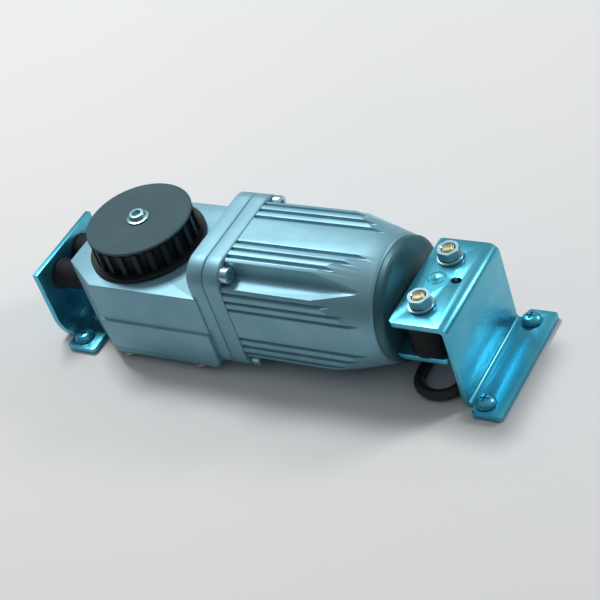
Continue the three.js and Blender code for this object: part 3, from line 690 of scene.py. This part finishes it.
def make_pulley():
    on_axis = (PULLEY_X, 0, 0)
    low, high = box_mm("drive_pulley")
    bottom, top, flange = low.z, high.z, high.y
    rim = bottom + 1.8
    teeth = prism("belt_pulley", tooth_outline(), bottom + 0.5, top, on_axis, smooth=40)
    profile = [(0, bottom), (flange - 0.6, bottom), (flange, bottom + 0.6), (flange, rim - 0.4),
               (flange - 0.4, rim), (flange - 2.2, rim - 0.3), (0, rim - 0.3)]
    join(teeth, lathe("plate", soften(profile, 0.35, 3, only=(1, 2, 3, 4, 5)), on_axis, "z", 144))
    cut(teeth, lathe("bore", rod_profile(6.3, 0, 90), on_axis, "z", 64), smooth=30)
    finish_piece(teeth, "pulley_black", "output", "pulley_black", "drive_pulley")

    low, high = box_mm("pulley_cover_disc")
    bottom, top, radius = low.z, high.z, high.y
    hole, seat = 3.4, top + GAP
    profile = [(hole, bottom), (radius - 0.9, bottom), (radius, bottom + 0.7), (radius, top - 0.5),
               (radius - 0.5, top), (radius - 1.3, top), (radius - 1.6, top - 0.12), (7.4, top - 0.12),
               (7.1, top), (hole, top), (hole, bottom)]
    disc = lathe("cover_disc", soften(profile, 0.3, 3, only=range(1, 9)), on_axis, "z", 192)
    finish_piece(disc, "disc_grey", "output", "disc_grey", "pulley_cover_disc")

    low, high = box_mm("pulley_screw")
    top = high.z
    profile = [(0, low.z), (2.9, low.z), (2.9, seat), (5.9, seat), (5.8, seat + 0.5), (4.2, seat + 0.8),
               (4.2, top - 0.6), (3.7, top), (0, top)]
    screw = lathe("disc_screw", soften(profile, 0.35, 4, only=(3, 4, 5, 6, 7)), on_axis, "z", 64)
    cut(screw, prism("socket", hexagon(4.6), top - 2, top + 1, on_axis), smooth=30)
    finish_piece(screw, "bright", "output", "steel", "pulley_screw")


# =====================================================================================
# brackets
# =====================================================================================
SHEET = 3.0
TAIL = {"web": 134, "ears": 137.5, "half": 29.3, "bend": 5}
FRONT = {"ears": -96, "half": 26, "bend": 11}
ANGLE = {"bend": 4.5, "leg_half": 13}
STUD_HOLE = 3.4  # radius
MARKS_Y = 2.2  # of the oblong hole and the press mark, beside the middle


def bent(points, radii, steps=12):
    """Side view of a bent sheet: centre line through points, with bends of the given outer radius."""
    points = [Vector(p) for p in points]
    edges = {1: [], -1: []}
    for i, corner in enumerate(points):
        before = (corner - points[i - 1]).normalized() if i > 0 else None
        after = (points[i + 1] - corner).normalized() if i + 1 < len(points) else None
        for side, edge in edges.items():
            if before is None or after is None:
                along = before or after
                edge.append(corner + Vector((-along.y, along.x)) * side * SHEET / 2)
                continue
            turn = 1 if before.cross(after) > 0 else -1
            middle = radii[i] - SHEET / 2
            centre = corner - before * middle + after * middle
            radius = middle - turn * side * SHEET / 2
            for k in range(steps + 1):
                a = k / steps * TAU / 4
                edge.append(centre + (before * math.sin(a) - after * math.cos(a)) * radius)
    return edges[1] + list(reversed(edges[-1]))


def foot_plan(free_end, root, ear, narrow, wide):
    """Sheet seen from above: narrow over the web, wider at the foot's ears; x runs free end, root, ear."""
    points = [(free_end, -narrow), (root, -narrow), (root, -wide), (ear, -wide),
              (ear, wide), (root, wide), (root, narrow), (free_end, narrow)]
    return prism("foot_plan", soften(points, 2.4, 6, closed=True), *ALL_HEIGHTS)


def foot_holes(side):
    spots = [middle_of(f"{side}_foot_screw_{i}") for i in (1, 2)]
    return [prism("hole", circle(2.9, 36), -4, 9, (spot.x, spot.y, 0)) for spot in spots]


def make_tail_bracket():
    low, high = box_mm("tail_bracket")
    x0, x1, top = low.x, high.x, high.z
    web = from_flange(TAIL["web"]) - SHEET / 2
    shelf = top - SHEET / 2
    line = [(x0, shelf), (web, shelf), (web, SHEET / 2), (x1, SHEET / 2)]
    bracket = across_y("tail_z_bracket", bent(line, [0, TAIL["bend"], TAIL["bend"], 0]), high.y + 5)
    common(bracket, foot_plan(x0, from_flange(TAIL["ears"]), x1, TAIL["half"], high.y))
    studs = [middle_of(f"tail_buffer_{i}") for i in (1, 2)]
    holes = [prism("hole", circle(STUD_HOLE, 40), top - 9, top + 5, (stud.x, stud.y, 0)) for stud in studs]
    stud_x = studs[0].x
    oblong = [(x * 1.3, y) for x, y in circle(2.1, 40)]
    holes.append(prism("oblong", oblong, top - 9, top + 5, (stud_x + 9.2 * MM, MARKS_Y * MM, 0)))
    cut(bracket, *holes, *foot_holes("tail"))
    bevel(bracket, 0.42, 3, angle=50)
    mark = (stud_x - 0.7 * MM, MARKS_Y * MM, 0)
    ring = [(4.0 + x, top + 0.05 + y) for x, y in circle(0.42, 10)]
    press = lathe("press", ring + ring[:1], mark, "z", 64)
    pip = lathe("pip", [(0, top - 0.35), (0.9, top + 0.1), (0, top + 1)], mark, "z", 24)
    cut(bracket, press, pip, smooth=30)
    finish_piece(bracket, "zinc", "housing", "zinc", "tail_bracket")


def make_front_bracket():
    low, high = box_mm("front_bracket")
    x0, x1 = low.x, high.x
    web = x0 + SHEET / 2
    outline = bent([(web, high.z), (web, SHEET / 2), (x1, SHEET / 2)], [0, FRONT["bend"], 0], 18)
    bracket = across_y("front_l_bracket", outline, high.y + 5)
    common(bracket, foot_plan(x0 - 6, from_flange(FRONT["ears"]), x1, FRONT["half"], high.y))
    studs = [middle_of(f"front_buffer_{i}") for i in (1, 2)]
    holes = [lathe("hole", rod_profile(STUD_HOLE, -3, 7), (x0 * MM, stud.y, stud.z), "x", 40)
             for stud in studs]
    cut(bracket, *holes, *foot_holes("front"))
    bevel(bracket, 0.42, 3, angle=50)
    finish_piece(bracket, "zinc", "housing", "zinc", "front_bracket")


def make_tail_angle():
    """Shelf for the buffers, with a narrow leg up the end cap."""
    low, high = box_mm("tail_angle")
    x0, x1, bottom, top, half = low.x, high.x, low.z, high.z, high.y
    plate, leg = bottom + SHEET / 2, x0 + SHEET / 2
    outline = bent([(leg, top), (leg, plate), (x1, plate)], [0, ANGLE["bend"], 0])
    angle = across_y("buffer_angle", outline, half)
    plan = [(x0 - 6, -half), (x1, -half), (x1, half), (x0 - 6, half)]
    common(angle, prism("corners", soften(plan, 4, 6, closed=True), *ALL_HEIGHTS))
    for side in SIDES:
        inner, outer = side * ANGLE["leg_half"], side * 30
        beside = [(x0 - 1, inner), (x0 + 7, inner), (x0 + 7, outer), (x0 - 1, outer)]
        cut(angle, prism("beside", beside, bottom + SHEET, top + 2))
    holes = []
    for i in (1, 2):
        stud = middle_of(f"tail_buffer_{i}")
        holes.append(prism("hole", circle(STUD_HOLE, 40), bottom - 2, bottom + 5, (stud.x, stud.y, 0)))
        screw = middle_of(f"angle_screw_{i}")
        holes.append(lathe("hole", rod_profile(2.2, -3, 7), (x0 * MM, screw.y, screw.z), "x", 32))
    cut(angle, *holes)
    bevel(angle, 0.35, 3, angle=50)
    finish_piece(angle, "zinc", "housing", "zinc", "tail_angle")


STUD = {"radius": 3.0, "pitch": 1.0, "depth": 0.5}


def rubber_profile(radius, length):
    """Waisted block between two thin bonded plates."""
    inner, waist, plate, neck = 3.1, radius - 1.0, 1.5, 4.2
    points = [(inner, 0), (radius, 0), (radius, plate), (waist, neck), (waist, length - neck),
              (radius, length - plate), (radius, length), (inner, length), (inner, 0)]
    return soften(points, 0.9, 4, only=(1, 2, 3, 4, 5, 6))


def make_buffer(side, i, start, end, at, along, stud_low, stud_high, stud_at):
    """Rubber block from start to end, in mm along its own axis, on a threaded stud."""
    node = f"{side}_buffer_{i}"
    low, high = box_mm(node)
    block = lathe(f"{side}_rubber_{i}", rubber_profile((high.y - low.y) / 2, end - start), at, along, 80)
    finish_piece(block, "rubber", "housing", "rubber", node)
    stud = thread(f"{side}_stud_{i}", STUD["radius"], stud_low, stud_high, STUD["pitch"], STUD["depth"],
                  stud_at, along)
    finish_piece(stud, "stud", "housing", "zinc")


def make_buffers():
    shelf = box_mm("tail_angle")[0].z + SHEET + GAP
    ceiling = box_mm("tail_bracket")[1].z - SHEET - GAP
    wall = box_mm("front_bracket")[0].x + SHEET + GAP
    for i in (1, 2):
        middle = middle_of(f"tail_buffer_{i}")
        low, high = box_mm(f"tail_buffer_{i}")
        make_buffer("tail", i, shelf, ceiling, (middle.x, middle.y, shelf * MM), "z",
                    low.z, high.z, (middle.x, middle.y, 0))
        middle = middle_of(f"front_buffer_{i}")
        low, high = box_mm(f"front_buffer_{i}")
        make_buffer("front", i, wall, high.x, (wall * MM, middle.y, middle.z), "x",
                    0.2, wall - low.x + 1, (low.x * MM, middle.y, middle.z))


def make_nuts():
    across, bore, tap = 10, STUD_HOLE, 3.3
    tip = across / math.sqrt(3) + 0.1
    for i in (1, 2):
        low, high = box_mm(f"tail_washer_{i}")
        middle = middle_of(f"tail_washer_{i}")
        at = (middle.x, middle.y, 0)
        h0, h1, radius = low.z, high.z, (high.y - low.y) / 2
        profile = [(bore, h0), (radius, h0), (radius, h1), (bore, h1), (bore, h0)]
        washer = lathe(f"plain_washer_{i}", soften(profile, 0.3, 3, only=(1, 2, 3)), at, "z", 72)
        finish_piece(washer, "bright", "housing", "zinc", f"tail_washer_{i}")
        low, high = box_mm(f"tail_nut_{i}")
        h0, h1 = low.z, high.z
        nut = prism(f"hex_nut_{i}", hexagon(across), h0, h1, at)
        spin = 0.35 + 0.8 * i  # each nut stops where it is tight
        centre = Matrix.Translation(at)
        nut.data.transform(centre @ Matrix.Rotation(spin, 4, "Z") @ centre.inverted())
        chamfer = [(0, h0 - 0.1), (across / 2, h0 - 0.1), (tip, h0 + 0.45), (tip, h1 - 0.45),
                   (across / 2, h1 + 0.1), (0, h1 + 0.1)]
        common(nut, lathe("chamfer", chamfer, at, "z", 72))
        hole = [(0, h0 - 1), (tap, h0 - 1), (tap, h1 - 0.6), (tap + 0.6, h1 + 0.05), (tap + 0.6, h1 + 1),
                (0, h1 + 1)]
        cut(nut, lathe("hole", hole, at, "z", 48), smooth=20)
        finish_piece(nut, "bright", "housing", "zinc", f"tail_nut_{i}")


def make_foot_screws():
    """Pan heads with a cross recess."""
    seat = SHEET + GAP
    for node in ("tail_foot_screw_1", "tail_foot_screw_2", "front_foot_screw_1", "front_foot_screw_2"):
        middle, top = middle_of(node), box_mm(node)[1].z
        profile = [(0, 0.2), (2.5, 0.2), (2.5, seat), (5.1, seat), (5.2, seat + 0.7), (4.7, seat + 1.6),
                   (3.4, top - 0.35), (1.8, top), (0, top)]
        screw = lathe(f"pan_{node}", soften(profile, 0.8, 4, only=(4, 5, 6, 7)),
                      (middle.x, middle.y, 0), "z", 56)
        cut(screw, *cross_recess(middle, 0.95, 4.8, top - 1.5, top + 1), smooth=30)
        finish_piece(screw, "zinc", "housing", "zinc", node)


def make_angle_screws():
    for i in (1, 2):
        node = f"angle_screw_{i}"
        low, high = box_mm(node)
        middle = middle_of(node)
        length = high.x - low.x
        seat = length - 2.1
        profile = [(0, 0), (1.9, 0), (1.9, seat), (3.6, seat), (3.6, length - 0.6), (0, length)]
        screw = lathe(f"pan_{node}", soften(profile, 0.6, 4, only=(3, 4)),
                      (low.x * MM, middle.y, middle.z), "x", 40)
        finish_piece(screw, "steel", "housing", "steel", node)


# =====================================================================================
# cable
# =====================================================================================
def make_cable():
    """The sleeve in the end cap, and the sheathed lead to its plug."""
    low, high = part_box("cable_grommet")
    inner, length = CABLE_RADIUS / MM + GAP, (high.x - low.x) / MM
    profile = [(inner, 0), (4.1, 0), (4.1, 2.3), (5.4, 2.3), (5.4, 4.4), (4.9, 5.0), (4.9, 5.5), (4.5, 5.5),
               (4.5, 6.1), (4.7, 6.1), (4.5, 7.0), (4.1, 7.0), (4.1, 7.6), (4.3, 7.6), (4.0, length),
               (inner, length), (inner, 0)]
    sleeve = lathe("cable_sleeve", soften(profile, 0.25, 3, only=range(3, 15)),
                   (low.x, 0, (low.z + high.z) / 2), "x", 56)
    finish_piece(sleeve, "rubber", "housing", "rubber", "cable_grommet")

    data = bpy.data.curves.new("motor_lead", "CURVE")
    data.dimensions = "3D"
    data.bevel_depth = CABLE_RADIUS
    data.bevel_resolution = 6
    data.resolution_u = 10
    data.use_fill_caps = True
    spline = data.splines.new("BEZIER")
    spline.bezier_points.add(len(CABLE_ROUTE) - 1)
    for point, spot in zip(spline.bezier_points, CABLE_ROUTE):
        point.co = spot
        point.handle_left_type = point.handle_right_type = "AUTO"
    lead = bpy.data.objects.new("motor_lead", data)
    bpy.context.scene.collection.objects.link(lead)
    connector = make_connector()
    finish_piece(lead, "cable_sheath", "housing", "cable_sheath", "motor_cable")


def make_connector():
    """Plug housing with two rows of three ways."""
    low, high = box_mm("cable_connector")
    outline = [(low.y, low.z), (high.y, low.z), (high.y, high.z), (low.y, high.z)]
    shell = prism("lead_connector", soften(outline, 0.6, 4, closed=True), low.x, high.x, (0, 0, 0), "x")
    middle = (low + high) / 2
    half_y, half_z = 1.2, 0.9
    ways = []
    for row in SIDES:
        for column in (-1, 0, 1):
            y, z = middle.y + column * 3.6, middle.z + row * 1.35
            hole = [(y - half_y, z - half_z), (y + half_y, z - half_z), (y + half_y, z + half_z),
                    (y - half_y, z + half_z)]
            ways.append(prism("way", hole, low.x - 1, low.x + 7, (0, 0, 0), "x"))
    cut(shell, *ways)
    bevel(shell, 0.18, 2, angle=60)
    return finish_piece(shell, "connector_shell", "housing", "connector_shell", "cable_connector")


# =====================================================================================
# studio
# =====================================================================================
def make_floor():
    bpy.ops.mesh.primitive_plane_add(size=12, location=(0, 0, -0.0002))
    floor = bpy.context.object
    floor.name = "floor"
    material, nodes, links, shader, where = node_material("floor_paper")
    clouds = noise(nodes, links, where, 3, 3.0)
    links.new(ramp(nodes, links, clouds, [(0.3, (0.70, 0.705, 0.71)), (0.7, (0.73, 0.73, 0.73))]),
              shader.inputs["Base Color"])
    shader.inputs["Roughness"].default_value = 0.9
    shader.inputs["Specular IOR Level"].default_value = 0.2
    floor.data.materials.append(material)


def area_light(name, spot, target, size, power):
    data = bpy.data.lights.new(name, "AREA")
    data.shape = "RECTANGLE"
    data.size, data.size_y = size
    data.energy = power
    obj = bpy.data.objects.new(name, data)
    bpy.context.scene.collection.objects.link(obj)
    obj.location = spot
    obj.rotation_euler = (Vector(target) - Vector(spot)).to_track_quat("-Z", "Y").to_euler()


def make_lights():
    """A soft key from behind, a smaller light from the tail's far side, and a room bright overhead."""
    area_light("key", (-0.62, 0.42, 1.25), (0, 0, 0.03), (0.45, 0.30), 13.5)
    area_light("rim", (1.0, 0.9, 0.82), (0.1, 0, 0.04), (0.32, 0.32), 5.5)
    world = bpy.data.worlds.new("studio")
    world.use_nodes = True
    nodes, links = world.node_tree.nodes, world.node_tree.links
    back = nodes["Background"]
    where = nodes.new("ShaderNodeTexCoord")
    split = nodes.new("ShaderNodeSeparateXYZ")
    links.new(where.outputs["Generated"], split.inputs["Vector"])
    stops = [(0.0, (0.14, 0.17, 0.18)), (0.25, (0.26, 0.31, 0.33)), (0.65, (0.95, 0.98, 1.0))]
    links.new(ramp(nodes, links, split.outputs["Z"], stops), back.inputs["Color"])
    side = nodes.new("ShaderNodeMapRange")  # the front is the darker side of the room
    for name, value in (("From Min", -1), ("From Max", 0.1), ("To Min", 0.15), ("To Max", 0.52)):
        side.inputs[name].default_value = value
    links.new(split.outputs["Y"], side.inputs["Value"])
    links.new(side.outputs["Result"], back.inputs["Strength"])
    bpy.context.scene.world = world
    bpy.context.scene.view_settings.view_transform = "Standard"


def dress_cad_nodes():
    """Every CAD node that stays gets the finish of its slot."""
    for row in frame["record"]["subparts"]:
        obj = frame["nodes"][row["node"]]
        obj.data.materials.clear()
        obj.data.materials.append(MATERIALS[row["material_slot"]])


make_camera()
MATERIALS = make_materials()
dress_cad_nodes()
make_cable()
make_body()
make_bell()
make_end_cap()
make_flange_bolts()
make_gearbox()
make_cover()
make_pulley()
make_tail_bracket()
make_front_bracket()
make_tail_angle()
make_buffers()
make_nuts()
make_foot_screws()
make_angle_screws()
make_floor()
make_lights()
